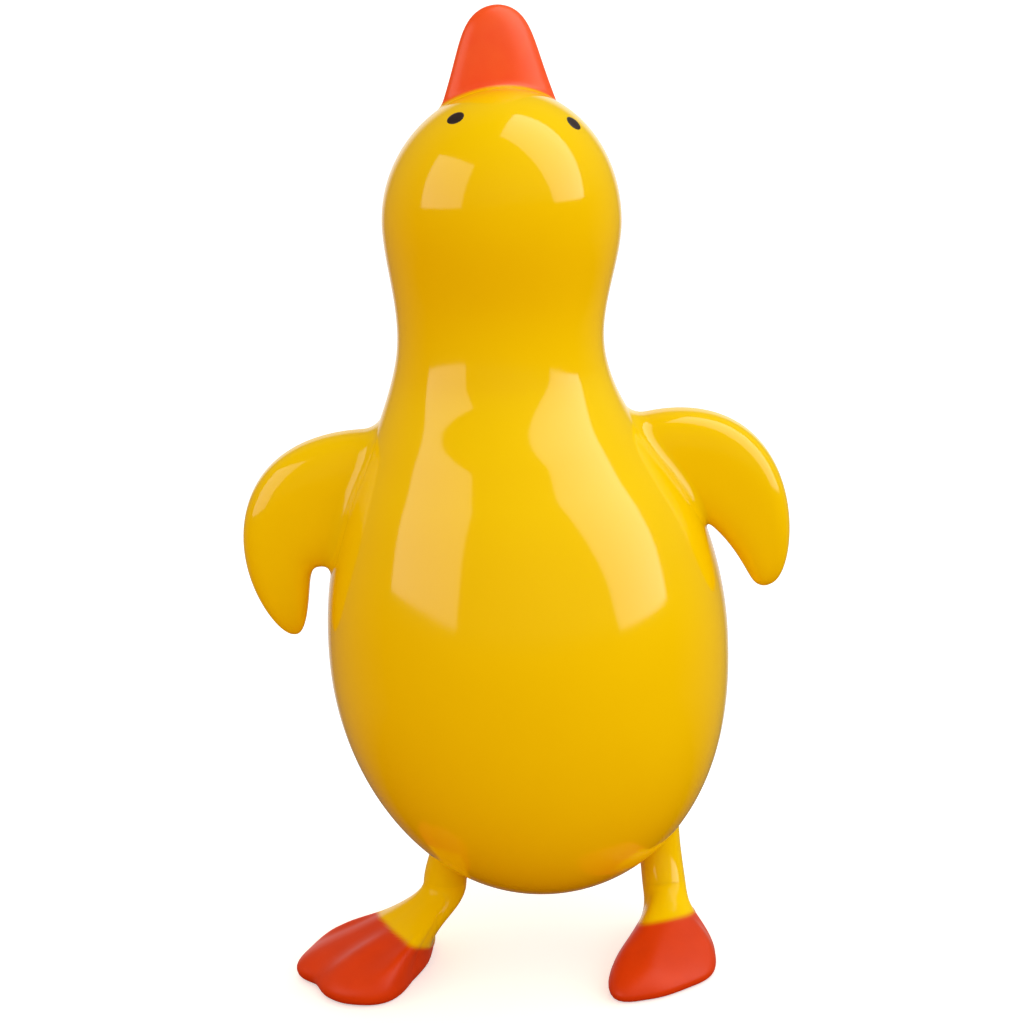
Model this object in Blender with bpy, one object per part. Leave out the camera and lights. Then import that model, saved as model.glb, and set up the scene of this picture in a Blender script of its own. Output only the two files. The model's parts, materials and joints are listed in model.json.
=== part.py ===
"""A squeaky moulded rubber bird that stands on two webbed feet and looks straight up.

The body is one hollow skin on the real toy. Here it is split where the rubber flexes: at the neck,
at each wing root and at each hip. A reed squeaker is plugged into the underside of the belly.
Z is up, the floor is z = 0, and the front of the bird faces -Y. Left and right are the bird's own,
so its left side is +X.
"""

from math import acos, cos, degrees, pi, radians, sin, sqrt

import bmesh
import bpy
from mathutils import Matrix, Vector

MM = 0.001

# Skin
WALL = 2.3 * MM
GAP = 0.3 * MM

# Belly: two half ellipsoids that share their widest ring, the lower a little fuller than an ellipse
BELLY_RADIUS = 40.4 * MM
BELLY_CLEARANCE = 15.0 * MM
BELLY_DROP = 53.0 * MM
BELLY_RISE = 57.0 * MM
BELLY_ROUNDING = 0.95
SHOULDER_ANGLE = radians(42.0)

# Neck and head: each rise starts at the middle of the part below
NECK_RADIUS = 20.5 * MM
NECK_RISE = 63.3 * MM
NECK_FLEX = 22.0 * MM
HEAD_RADIUS = 23.5 * MM
HEAD_RISE = 23.0 * MM
CROWN_RISE = 27.0 * MM

# Bill: a flat spade, turned with the head, its base sunk below the top of the crown
BILL_LENGTH = 15.2 * MM
BILL_SUNK = 9.3 * MM
BILL_HALF_WIDTH = 13.4 * MM
BILL_TIP_HALF_WIDTH = 6.8 * MM
BILL_TIP_RISE = 5.6 * MM
BILL_HALF_THICKNESS = 4.8 * MM
BILL_TIP_HALF_THICKNESS = 3.0 * MM
BILL_SET_BACK = 3.5 * MM
BILL_TURN = radians(15.0)

# Eyes: painted dots, azimuth from the front towards the bird's left, and latitude on the head
EYE_PLACES = {"left": (radians(70.0), radians(48.0)), "right": (radians(-40.0), radians(59.5))}
EYE_HALF_LENGTH = 2.1 * MM
EYE_HALF_WIDTH = 1.5 * MM
EYE_THICKNESS = 0.5 * MM
EYE_FLAT_SHARE = 0.6

# Wings: leading and trailing edges as Bezier points, in millimetres outwards of the armpit and above it
WING_LEADING = ((-23.5, 22.1), (1.8, 31.8), (19.8, 19.1), (14.5, -12.0))
WING_TRAILING = ((-11.9, 1.6), (2.3, 3.2), (6.0, -7.8), (4.7, -14.9))
WING_RAISE = {"left": radians(2.8), "right": radians(-10.3)}
WING_HALF_THICKNESS = 5.4 * MM
WING_TIP_SHARE = 0.62
WING_TIP_BLUNTNESS = 9
WING_SET_BACK = 1.0 * MM
ARMPIT_RISE = {"left": 21.1 * MM, "right": 19.0 * MM}
ARMPIT_STANDOFF = {"left": 2.6 * MM, "right": 1.5 * MM}
WING_HINGE_LEAN = radians(13.0)
WING_HINGE_OUT = 1.0 * MM

# Legs: Bezier centre lines in millimetres, the hip's two points measured up from the belly's underside
# and the ankle's two from a leg's radius above the floor
HIP_POINTS = {
    "left": ((24.0, 2.0, 21.0), (24.2, 2.0, 10.9)),
    "right": ((-17.0, 2.0, 19.0), (-19.6, 2.0, 6.5)),
}
ANKLE_POINTS = {
    "left": ((25.0, 2.3, 11.75), (25.2, -1.1, 5.15)),
    "right": ((-16.6, 2.2, 7.85), (-30.5, -0.7, 1.35)),
}
LEG_RADIUS = 4.15 * MM
LEG_HIP_FLARE = 1.2 * MM
LEG_ANKLE_FLARE = 0.8 * MM
HIP_FLEX = 8.0 * MM

# Feet: heading outwards from straight ahead, and the outline's reach in millimetres from the ankle
# at angles in degrees from the heading outwards
FOOT_HEADINGS = {"left": radians(-3.0), "right": radians(47.0)}
OUTLINE_ANGLES = (-180, -140, -95, -60, -40, -22, -8, 8, 24, 42, 65, 95, 140)
FOOT_OUTLINES = {
    "left": (13.0, 9.3, 6.3, 9.1, 16.6, 29.4, 29.3, 24.9, 20.9, 14.0, 9.3, 5.9, 9.5),
    "right": (8.3, 6.2, 7.0, 13.4, 22.1, 24.8, 23.6, 20.9, 22.0, 18.5, 14.8, 9.5, 12.0),
}
TOE_ANGLES = (radians(-24.0), radians(-8.0), radians(24.0))
TOE_RIDGE = 0.9 * MM
TOE_RIDGE_HALF_ANGLE = radians(11.0)
FOOT_EDGE = 2.2 * MM
SOLE_INSET = 0.7 * MM
ANKLE_PULL = 6.0 * MM
WEB_PULL = 9.5 * MM

# Squeaker: a plug buttoned into a round hole in a recess under the belly, with a reed inside
HOLE_RADIUS = 8.0 * MM
PLUG_SUNK = 0.3 * MM
PLUG_LIP = 1.5 * MM
PLUG_LIP_THICKNESS = 1.4 * MM
PLUG_TUBE_RADIUS = 7.0 * MM
PLUG_TUBE_WALL = 1.2 * MM
PLUG_TUBE_LENGTH = 15.0 * MM
PLUG_FLOOR = 1.6 * MM
VENT_RADIUS = 2.4 * MM
REED_BED_PROUD = 1.5 * MM
REED_GROOVE_RADIUS = 1.5 * MM
REED_GROOVE_SHORT = 2.0 * MM
REED_WIDTH = 5.0 * MM
REED_THICKNESS = 0.4 * MM
REED_CLAMPED = 2.5 * MM
CLAMP_LENGTH = 3.0 * MM

# Facets: sides of each ring, and rings along each form
BODY_SIDES = 40
LIMB_SIDES = 16
FOOT_SIDES = 32
PLUG_SIDES = 32
BELLY_RINGS = (11, 6, 4)
BELLY_INNER_RINGS = (8, 4, 3)
NECK_RINGS = 6
HEAD_RINGS = (4, 9)
HEAD_INNER_RINGS = (3, 6)
BILL_RINGS = 6
WING_RINGS = 17
WING_RINGS_TO_TIP = 1.5
LEG_RINGS = 9
FOOT_RINGS = 7
HIP_SEARCH_STEPS = 201
SHARP_EDGE = radians(40.0)

# Finishes: linear colour and roughness
YELLOW_SKIN = ((0.90, 0.56, 0.002), 0.12)
BILL_PAINT = ((0.93, 0.11, 0.012), 0.35)
FOOT_PAINT = ((0.72, 0.07, 0.012), 0.35)
EYE_PAINT = ((0.02, 0.012, 0.008), 0.3)
PLUG_PLASTIC = ((0.85, 0.84, 0.78), 0.4)
REED_METAL = ((0.80, 0.60, 0.30), 0.3)

SIDES = {"left": 1.0, "right": -1.0}

# Heights worked out from the rises
BELLY_HEIGHT = BELLY_CLEARANCE + BELLY_DROP
SHOULDER_HEIGHT = BELLY_HEIGHT + BELLY_RISE * sin(SHOULDER_ANGLE)
NECK_HEIGHT = BELLY_HEIGHT + NECK_RISE
HEAD_HEIGHT = NECK_HEIGHT + HEAD_RISE
CROWN_HEIGHT = HEAD_HEIGHT + CROWN_RISE
BILL_TIP_HEIGHT = CROWN_HEIGHT + BILL_LENGTH
BILL_BASE_HEIGHT = CROWN_HEIGHT - BILL_SUNK

# The moulding leans a little from side to side: height and sideways shift
SWAY = (
    (BELLY_CLEARANCE, 1.8 * MM),
    (BELLY_HEIGHT, 0.2 * MM),
    (0.5 * (SHOULDER_HEIGHT + NECK_HEIGHT), -2.4 * MM),
    (HEAD_HEIGHT, 0.4 * MM),
    (BILL_TIP_HEIGHT, 1.7 * MM),
)


def clear_scene():
    for thing in list(bpy.data.objects):
        bpy.data.objects.remove(thing, do_unlink=True)


def spread(first, last, count):
    """Evenly spaced values from first to last, both included."""
    return [first + (last - first) * i / (count - 1) for i in range(count)]


def smooth_step(t):
    return t * t * (3.0 - 2.0 * t)


def stepped(stations, position):
    """Value at a position on stations of (position, value), with an S-curve between neighbours."""
    for (low, a), (high, b) in zip(stations, stations[1:]):
        if position <= high:
            t = min(1.0, max(0.0, (position - low) / (high - low)))
            return a + (b - a) * smooth_step(t)
    return stations[-1][1]


def round_curve(angles, values, angle):
    """Value at an angle in degrees on a smooth closed curve through values given at rising angles."""
    count = len(angles)
    lap = (angle - angles[0]) % 360.0 + angles[0]
    i = max(k for k in range(count) if angles[k] <= lap)
    stations = []
    for k in range(i - 1, i + 3):
        turns = 360.0 * (k // count)
        stations.append((angles[k % count] + turns, values[k % count]))
    (a0, v0), (a1, v1), (a2, v2), (a3, v3) = stations
    span = a2 - a1
    t = (lap - a1) / span
    start_slope = (v2 - v0) / (a2 - a0) * span
    end_slope = (v3 - v1) / (a3 - a1) * span
    bend = start_slope * t * (1.0 - t) ** 2 - end_slope * t * t * (1.0 - t)
    return v1 + (v2 - v1) * smooth_step(t) + bend


def bezier(points, t):
    """Point of a cubic Bezier curve."""
    a, b, c, d = (Vector(p) for p in points)
    u = 1.0 - t
    return a * u**3 + b * (3.0 * u * u * t) + c * (3.0 * u * t * t) + d * t**3


def bezier_slope(points, t):
    """Direction of a cubic Bezier curve."""
    a, b, c, d = (Vector(p) for p in points)
    u = 1.0 - t
    return ((b - a) * u * u + (c - b) * (2.0 * u * t) + (d - c) * t * t).normalized()


# Meshes and pieces


def loft(rings, closed=False):
    """Skin of faces through rings of points: one point is a pole, and open ends are capped."""
    bm = bmesh.new()
    loops = [[bm.verts.new(point) for point in ring] for ring in rings]
    pairs = list(zip(loops, loops[1:]))
    if closed:
        pairs.append((loops[-1], loops[0]))
    for a, b in pairs:
        for i in range(max(len(a), len(b))):
            corners = (a[i % len(a)], a[(i + 1) % len(a)], b[(i + 1) % len(b)], b[i % len(b)])
            corners = list(dict.fromkeys(corners))
            if len(corners) > 2:
                bm.faces.new(corners)
    if not closed:
        for end in (loops[0], loops[-1]):
            if len(end) > 2:
                bm.faces.new(end)
    bmesh.ops.recalc_face_normals(bm, faces=bm.faces[:])
    return bm


def keep_below(bm, point, normal):
    """Saw a closed mesh along a plane, keep the side that the normal points away from, and cap it."""
    whole = bm.verts[:] + bm.edges[:] + bm.faces[:]
    bmesh.ops.bisect_plane(bm, geom=whole, plane_co=point, plane_no=normal, clear_outer=True)
    rim = [edge for edge in bm.edges if edge.is_boundary]
    bmesh.ops.holes_fill(bm, edges=rim, sides=0)
    bmesh.ops.recalc_face_normals(bm, faces=bm.faces[:])


def finish(name, colour, roughness, metallic=0.0):
    material = bpy.data.materials.new(name)
    material.use_nodes = True
    shader = material.node_tree.nodes["Principled BSDF"]
    shader.inputs["Base Color"].default_value = (*colour, 1.0)
    shader.inputs["Roughness"].default_value = roughness
    shader.inputs["Metallic"].default_value = metallic
    return material


def add_piece(name, bm, look, pivot=(0.0, 0.0, 0.0), metallic=0.0):
    """Make a named object of a mesh drawn in place, with its origin on the pivot."""
    bm.transform(Matrix.Translation(-Vector(pivot)))
    mesh = bpy.data.meshes.new(name)
    bm.to_mesh(mesh)
    bm.free()
    mesh.shade_smooth()
    mesh.set_sharp_from_angle(angle=SHARP_EDGE)
    piece = bpy.data.objects.new(name, mesh)
    piece.location = pivot
    piece.data.materials.append(finish(name, *look, metallic))
    bpy.context.scene.collection.objects.link(piece)
    return piece


def add_cutter(name, bm):
    cutter = add_piece(name, bm, YELLOW_SKIN)
    cutter.hide_render = True
    cutter.display_type = "WIRE"
    return cutter


def cut(piece, cutter):
    saw = piece.modifiers.new("fit to the skin", "BOOLEAN")
    saw.operation = "DIFFERENCE"
    saw.solver = "EXACT"
    saw.object = cutter


# Body skin


def sway(height):
    return stepped(SWAY, height)


def body_ring(radius, height):
    """Circle round the leaning axis, or the pole where the radius is nothing."""
    if radius < GAP:
        return [Vector((sway(height), 0.0, height))]
    turns = [2.0 * pi * i / BODY_SIDES for i in range(BODY_SIDES)]
    return [Vector((sway(height) + radius * cos(a), radius * sin(a), height)) for a in turns]


def belly(angle, inset=0.0):
    """Radius and height on the belly, from -90 degrees at its pole to the shoulder."""
    if angle > 0.0:
        return (BELLY_RADIUS - inset) * cos(angle), BELLY_HEIGHT + (BELLY_RISE - inset) * sin(angle)
    wide = max(0.0, cos(angle)) ** BELLY_ROUNDING
    deep = sin(-angle) ** BELLY_ROUNDING
    return (BELLY_RADIUS - inset) * wide, BELLY_HEIGHT - (BELLY_DROP - inset) * deep


def throat(height, inset=0.0):
    """Radius and height from the shoulder through the neck to the widest ring of the head."""
    if height > NECK_HEIGHT:
        t = (height - NECK_HEIGHT) / (HEAD_HEIGHT - NECK_HEIGHT)
        radius = NECK_RADIUS + (HEAD_RADIUS - NECK_RADIUS) * smooth_step(t)
    else:
        shoulder_radius = belly(SHOULDER_ANGLE)[0]
        run = NECK_HEIGHT - SHOULDER_HEIGHT
        t = (height - SHOULDER_HEIGHT) / run
        slope = -BELLY_RADIUS * sin(SHOULDER_ANGLE) / (BELLY_RISE * cos(SHOULDER_ANGLE))
        radius = shoulder_radius + (NECK_RADIUS - shoulder_radius) * smooth_step(t)
        radius += slope * run * t * (1.0 - t) ** 2
    return radius - inset, height


def crown(angle, inset=0.0):
    """Radius and height on the top of the head, up to its pole at 90 degrees."""
    return (HEAD_RADIUS - inset) * cos(angle), HEAD_HEIGHT + (CROWN_RISE - inset) * sin(angle)


def belly_outline(first_angle, top, steps, inset=0.0):
    """Belly and shoulder from an angle near the pole up to a height on the neck."""
    low, middle, high = steps
    outline = [belly(a, inset) for a in spread(first_angle, 0.0, low)]
    outline += [belly(a, inset) for a in spread(0.0, SHOULDER_ANGLE, middle)[1:]]
    outline += [throat(z, inset) for z in spread(SHOULDER_HEIGHT, top, high)[1:]]
    return outline


def head_outline(bottom, steps, inset=0.0):
    """From a height on the neck up to the pole of the crown."""
    low, high = steps
    outline = [throat(z, inset) for z in spread(bottom, HEAD_HEIGHT, low)]
    return outline + [crown(a, inset) for a in spread(0.0, 0.5 * pi, high)[1:]]


def belly_angle(radius, inset=0.0):
    """Angle on the underside of the belly at which its ring has this radius."""
    return -acos((radius / (BELLY_RADIUS - inset)) ** (1.0 / BELLY_ROUNDING))


def plug_seat():
    """Radius of the recess that takes the squeaker's lip, and the height of its floor."""
    rim = HOLE_RADIUS + PLUG_LIP + GAP
    return rim, belly(belly_angle(rim))[1] + PLUG_SUNK + PLUG_LIP_THICKNESS + GAP


def shell(outer, inner):
    """Closed wall between an outer and an inner outline, joined round their rims."""
    return loft([body_ring(*p) for p in outer] + [body_ring(*p) for p in reversed(inner)], closed=True)


def build_skin():
    """Belly, neck and head shells, cut apart across the two ends of the flexing neck."""
    low = NECK_HEIGHT - 0.5 * NECK_FLEX
    high = NECK_HEIGHT + 0.5 * NECK_FLEX
    pivot = (0.0, 0.0, NECK_HEIGHT)

    rim, seat = plug_seat()
    boss = rim + WALL
    outer = [(HOLE_RADIUS, seat), (rim, seat)]
    outer += belly_outline(belly_angle(rim), low, BELLY_RINGS)
    inner = [(HOLE_RADIUS, seat + WALL), (boss, seat + WALL)]
    inner += belly_outline(belly_angle(boss + WALL, WALL), low, BELLY_INNER_RINGS, WALL)
    add_piece("body_shell", shell(outer, inner), YELLOW_SKIN)

    rings = spread(low + GAP, high - GAP, NECK_RINGS)
    outer = [throat(z) for z in rings]
    inner = [throat(z, WALL) for z in rings[::2] + rings[-1:]]
    add_piece("neck", shell(outer, inner), YELLOW_SKIN)

    outer = head_outline(high, HEAD_RINGS)
    inner = head_outline(high, HEAD_INNER_RINGS, WALL)
    add_piece("head_shell", shell(outer, inner), YELLOW_SKIN, pivot)


def skin_cutters():
    """The belly and the head as filled solids, grown by the gap that their neighbours keep."""
    low = NECK_HEIGHT - 0.5 * NECK_FLEX
    high = NECK_HEIGHT + 0.5 * NECK_FLEX
    outline = belly_outline(-0.5 * pi, low, BELLY_RINGS, -GAP)
    belly_cutter = add_cutter("belly_clearance", loft([body_ring(*p) for p in outline]))
    outline = head_outline(high, HEAD_RINGS, -GAP)
    head_cutter = add_cutter("head_clearance", loft([body_ring(*p) for p in outline]))
    return belly_cutter, head_cutter


# Head pieces


def build_bill(head_cutter):
    """Flat spade: elliptical rings that taper towards a rounded tip."""
    straight_top = BILL_TIP_HEIGHT - BILL_TIP_RISE
    across = Vector((cos(BILL_TURN), sin(BILL_TURN), 0.0))
    through = Vector((-sin(BILL_TURN), cos(BILL_TURN), 0.0))

    def ring(height, width, thickness):
        centre = Vector((sway(height), BILL_SET_BACK, height))
        turns = [2.0 * pi * i / LIMB_SIDES for i in range(LIMB_SIDES)]
        return [centre + across * (width * cos(a)) + through * (thickness * sin(a)) for a in turns]

    rings = []
    for t in spread(0.0, 1.0, BILL_RINGS):
        height = BILL_BASE_HEIGHT + (straight_top - BILL_BASE_HEIGHT) * t
        width = BILL_HALF_WIDTH + (BILL_TIP_HALF_WIDTH - BILL_HALF_WIDTH) * t
        thickness = BILL_HALF_THICKNESS + (BILL_TIP_HALF_THICKNESS - BILL_HALF_THICKNESS) * t
        rings.append(ring(height, width, thickness))
    for angle in spread(0.0, 0.5 * pi, BILL_RINGS)[1:-1]:
        height = straight_top + BILL_TIP_RISE * sin(angle)
        rings.append(ring(height, BILL_TIP_HALF_WIDTH * cos(angle), BILL_TIP_HALF_THICKNESS * cos(angle)))
    rings.append([Vector((sway(BILL_TIP_HEIGHT), BILL_SET_BACK, BILL_TIP_HEIGHT))])

    bill = add_piece("bill", loft(rings), BILL_PAINT, (0.0, 0.0, NECK_HEIGHT))
    cut(bill, head_cutter)


def head_point(azimuth, latitude, lift):
    """Point over the crown, lifted off its surface."""
    radius, height = crown(latitude, -lift)
    return Vector((sway(height) + radius * sin(azimuth), -radius * cos(azimuth), height))


def build_eye(side):
    """Painted dot: a thin domed ellipse that follows the head, its long axis along the meridian."""
    azimuth, latitude = EYE_PLACES[side]

    def ring(share, lift):
        turns = [2.0 * pi * i / LIMB_SIDES for i in range(LIMB_SIDES)]
        up = share * EYE_HALF_LENGTH / CROWN_RISE
        round_about = share * EYE_HALF_WIDTH / (HEAD_RADIUS * cos(latitude))
        return [head_point(azimuth + round_about * sin(a), latitude + up * cos(a), lift) for a in turns]

    top = GAP + EYE_THICKNESS
    middle = [head_point(azimuth, latitude, GAP)]
    summit = [head_point(azimuth, latitude, top)]
    flat = EYE_FLAT_SHARE
    rings = [middle, ring(flat, GAP), ring(1.0, GAP), ring(1.0, 0.5 * (GAP + top)), ring(flat, top), summit]
    add_piece("eye_" + side, loft(rings), EYE_PAINT, (0.0, 0.0, NECK_HEIGHT))


# Wings


def armpit(side):
    """Where the wing's lower edge meets the belly: sideways distance and height."""
    rise = ARMPIT_RISE[side]
    skin = BELLY_RADIUS * sqrt(1.0 - (rise / BELLY_RISE) ** 2)
    return Vector((skin + ARMPIT_STANDOFF[side], BELLY_HEIGHT + rise))


def wing_place(side, flat, y):
    """Point of the body from one drawn in the wing's upright plane."""
    return Vector((sway(armpit(side).y) + flat.x * SIDES[side], WING_SET_BACK + y, flat.y))


def wing_solid(side):
    """Paddle lofted between its leading and trailing edges, thinner and rounded towards the tip."""
    raised = Matrix.Rotation(WING_RAISE[side], 2)
    rings = []
    for s in spread(0.0, 1.0, WING_RINGS):
        t = 1.0 - (1.0 - s) ** WING_RINGS_TO_TIP
        lead = bezier(WING_LEADING, t)
        trail = bezier(WING_TRAILING, t)
        tip_round = sqrt(1.0 - t**WING_TIP_BLUNTNESS)
        chord = raised @ ((lead - trail) * (0.5 * tip_round * MM))
        middle = armpit(side) + raised @ ((lead + trail) * (0.5 * MM))
        thin = 1.0 - (1.0 - WING_TIP_SHARE) * smooth_step(t)
        thick = WING_HALF_THICKNESS * thin * tip_round
        turns = [2.0 * pi * i / LIMB_SIDES for i in range(LIMB_SIDES)]
        rings.append([wing_place(side, middle + chord * cos(a), thick * sin(a)) for a in turns])
    tip = sum(rings[-1], Vector()) / LIMB_SIDES
    return loft(rings[:-1] + [[tip]])


def build_wing(side, belly_cutter):
    """Root and blade of a wing, sawn apart along the flexing line just outside the armpit."""
    lean = WING_HINGE_LEAN + WING_RAISE[side]
    outwards = Vector((cos(lean) * SIDES[side], 0.0, sin(lean)))
    saw = wing_place(side, armpit(side), 0.0) + outwards * WING_HINGE_OUT

    root = wing_solid(side)
    keep_below(root, saw - outwards * GAP, outwards)
    cut(add_piece("wing_root_" + side, root, YELLOW_SKIN), belly_cutter)

    blade = wing_solid(side)
    keep_below(blade, saw, -outwards)
    add_piece("wing_" + side, blade, YELLOW_SKIN, saw)


# Legs and feet


def leg_path(side):
    """Bezier points of the leg's centre line, from inside the belly to the ankle."""
    underside = Vector((0.0, 0.0, BELLY_CLEARANCE))
    lowest = Vector((0.0, 0.0, LEG_RADIUS))
    hip = [underside + Vector(p) * MM for p in HIP_POINTS[side]]
    return hip + [lowest + Vector(p) * MM for p in ANKLE_POINTS[side]]


def leg_ring(side, t, radius):
    """Circle square to the leg's centre line, its first point straight ahead of the foot."""
    path = leg_path(side)
    centre = bezier(path, t)
    down = bezier_slope(path, t)
    heading = foot_heading(side)
    ahead = (heading - down * heading.dot(down)).normalized()
    aside = down.cross(ahead)
    turns = [2.0 * pi * i / FOOT_SIDES for i in range(FOOT_SIDES)]
    return [centre + ahead * (radius * cos(a)) + aside * (radius * sin(a)) for a in turns]


def leg_rings(side, grown=0.0):
    """Rings of the whole leg, flared where it leaves the belly and where it meets the foot."""
    rings = []
    for t in spread(0.0, 1.0, LEG_RINGS):
        hip_flare = LEG_HIP_FLARE * (1.0 - smooth_step(min(1.0, 2.0 * t)))
        ankle_flare = LEG_ANKLE_FLARE * smooth_step(max(0.0, 2.0 * t - 1.0))
        rings.append(leg_ring(side, t, LEG_RADIUS + hip_flare + ankle_flare + grown))
    return rings


def foot_heading(side):
    """Unit vector along the middle of the foot, seen from above."""
    angle = FOOT_HEADINGS[side]
    return Vector((sin(angle) * SIDES[side], -cos(angle), 0.0))


def hip_point(side):
    """Place and direction of the leg's centre line where it leaves the belly."""
    path = leg_path(side)
    power = 2.0 / BELLY_ROUNDING
    for t in spread(0.0, 1.0, HIP_SEARCH_STEPS):
        point = bezier(path, t)
        wide = sqrt((point.x - sway(point.z)) ** 2 + point.y**2) / BELLY_RADIUS
        tall = (BELLY_HEIGHT - point.z) / BELLY_DROP
        if wide**power + tall**power >= 1.0:
            return point, bezier_slope(path, t)
    raise ValueError("the leg does not leave the belly")


def build_leg(side, belly_cutter):
    """Flexing hip, leg and foot: the leg's tube is sawn across, and the foot flares from its end."""
    hip, down = hip_point(side)
    saw = hip + down * HIP_FLEX

    root = loft(leg_rings(side))
    keep_below(root, saw - down * GAP, down)
    cut(add_piece("hip_" + side, root, YELLOW_SKIN), belly_cutter)

    tube = loft(leg_rings(side))
    keep_below(tube, saw, -down)
    add_piece("leg_" + side, tube, YELLOW_SKIN, hip)
    foot = add_piece("foot_" + side, foot_solid(side), FOOT_PAINT, hip)
    cut(foot, add_cutter("leg_clearance_" + side, loft(leg_rings(side, GAP))))


def foot_radius(side, angle):
    """Reach of the foot's outline from the ankle, by angle from the heading outwards."""
    return round_curve(OUTLINE_ANGLES, FOOT_OUTLINES[side], degrees(angle)) * MM


def foot_solid(side):
    """Webbed paddle: each spoke leaves the ankle down the leg and runs out level to the outline."""
    path = leg_path(side)
    down = bezier_slope(path, 1.0)
    ankle = path[-1] + down * GAP
    heading = foot_heading(side)
    aside = Vector((-heading.y, heading.x, 0.0)) * SIDES[side]
    collar = [point + down * GAP for point in leg_ring(side, 1.0, LEG_RADIUS + LEG_ANKLE_FLARE)]

    def spoke(i, t):
        """Point on the top of the foot: a Hermite curve from the collar to the outline, plus toes."""
        start = collar[i]
        angle = -2.0 * pi * i / FOOT_SIDES * SIDES[side]
        out = heading * cos(angle) + aside * sin(angle)
        end = Vector((ankle.x, ankle.y, FOOT_EDGE)) + out * foot_radius(side, angle)
        point = start * (2.0 * t**3 - 3.0 * t * t + 1.0) + end * (3.0 * t * t - 2.0 * t**3)
        point += down * (ANKLE_PULL * t * (1.0 - t) ** 2) - out * (WEB_PULL * t * t * (t - 1.0))
        for toe in TOE_ANGLES:
            away = abs((angle - toe + pi) % (2.0 * pi) - pi) / TOE_RIDGE_HALF_ANGLE
            if away < 1.0:
                point.z += TOE_RIDGE * (1.0 - away) * sin(pi * t)
        point.z = max(point.z, min(FOOT_EDGE, start.z + (FOOT_EDGE - start.z) * t))
        return point

    steps = spread(0.0, 1.0, FOOT_RINGS)
    rings = [[spoke(i, t) for i in range(FOOT_SIDES)] for t in steps]
    middle = Vector((ankle.x, ankle.y, 0.0))
    sole = []
    for point in rings[-1]:
        flat = Vector((point.x, point.y, 0.0)) - middle
        sole.append(middle + flat * (1.0 - SOLE_INSET / flat.length))
    rings.append([Vector((point.x, point.y, 0.5 * FOOT_EDGE)) for point in rings[-1]])
    rings.append(sole)
    return loft(rings)


# Squeaker


def turned(profile, x):
    """Solid turned round the squeaker's upright axis from a closed profile of (radius, height)."""
    rings = []
    for radius, height in profile:
        turns = [2.0 * pi * i / PLUG_SIDES for i in range(PLUG_SIDES)]
        rings.append([Vector((x + radius * cos(a), radius * sin(a), height)) for a in turns])
    return loft(rings, closed=True)


def half_round(x, radius, face, low, high, facing):
    """Upright bar with a round back and a flat face, the face on the plane y = face."""
    reach = pi * 0.5 - abs(face) / radius
    turns = spread(0.5 * pi - reach, 0.5 * pi + reach, PLUG_SIDES // 2 + 1)
    rings = []
    for height in (low, high):
        rings.append([Vector((x + radius * cos(a), facing * radius * sin(a), height)) for a in turns])
    return loft(rings)


def build_squeaker():
    """Plug case buttoned into the belly, reed bed with its air groove, reed and clamp."""
    seat = plug_seat()[1]
    x = sway(seat)
    neck = HOLE_RADIUS - GAP
    lip = HOLE_RADIUS + PLUG_LIP
    base = seat - GAP - PLUG_LIP_THICKNESS
    collar = seat + WALL + GAP
    top = collar + PLUG_TUBE_LENGTH
    bore = PLUG_TUBE_RADIUS - PLUG_TUBE_WALL
    floor = base + PLUG_FLOOR
    case = (
        (VENT_RADIUS, base),
        (lip, base),
        (lip, base + PLUG_LIP_THICKNESS),
        (neck, base + PLUG_LIP_THICKNESS),
        (neck, collar),
        (lip, collar),
        (neck, collar + PLUG_LIP_THICKNESS),
        (PLUG_TUBE_RADIUS, collar + PLUG_LIP_THICKNESS),
        (PLUG_TUBE_RADIUS, top),
        (bore, top),
        (bore, floor),
        (VENT_RADIUS, floor),
    )
    add_piece("squeaker_case", turned(case, x), PLUG_PLASTIC)

    round_back = bore - GAP
    bed_low = floor + GAP
    bed_high = top + REED_BED_PROUD
    bed_face = 0.5 * REED_THICKNESS + GAP
    bed = add_piece("reed_bed", half_round(x, round_back, bed_face, bed_low, bed_high, 1.0), PLUG_PLASTIC)
    groove = bmesh.new()
    bmesh.ops.create_cone(
        groove,
        cap_ends=True,
        segments=LIMB_SIDES,
        radius1=REED_GROOVE_RADIUS,
        radius2=REED_GROOVE_RADIUS,
        depth=2.0 * (bed_high - bed_low - REED_GROOVE_SHORT),
        matrix=Matrix.Translation((x, bed_face, bed_low)),
    )
    cut(bed, add_cutter("air_groove", groove))

    hinge = (x, 0.0, bed_low + CLAMP_LENGTH)
    reed = bmesh.new()
    bmesh.ops.create_cube(reed, size=1.0)
    reed_length = bed_high - hinge[2] + REED_CLAMPED
    bmesh.ops.scale(reed, verts=reed.verts, vec=(REED_WIDTH, REED_THICKNESS, reed_length))
    reed_middle = hinge[2] - REED_CLAMPED + 0.5 * reed_length
    bmesh.ops.translate(reed, verts=reed.verts, vec=(x, 0.0, reed_middle))
    add_piece("reed", reed, REED_METAL, hinge, 1.0)

    clamp = half_round(x, round_back, bed_face, bed_low, hinge[2], -1.0)
    add_piece("reed_clamp", clamp, PLUG_PLASTIC)


def main():
    clear_scene()
    build_skin()
    belly_cutter, head_cutter = skin_cutters()
    build_bill(head_cutter)
    for side in SIDES:
        build_eye(side)
        build_wing(side, belly_cutter)
        build_leg(side, belly_cutter)
    build_squeaker()


main()
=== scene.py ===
# %% [markdown]
# # A squeaky moulded rubber bird
# The bird is one hollow skin of glossy yellow vinyl, with a sprayed bill, sprayed feet and two painted
# eyes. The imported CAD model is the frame: it says where each piece is and how it moves. This lesson
# lays smooth skins over that frame, gives them their finishes, and lights them as in a small studio.

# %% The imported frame
import json

import bmesh
import bpy
import numpy as np
from mathutils import Matrix

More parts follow.
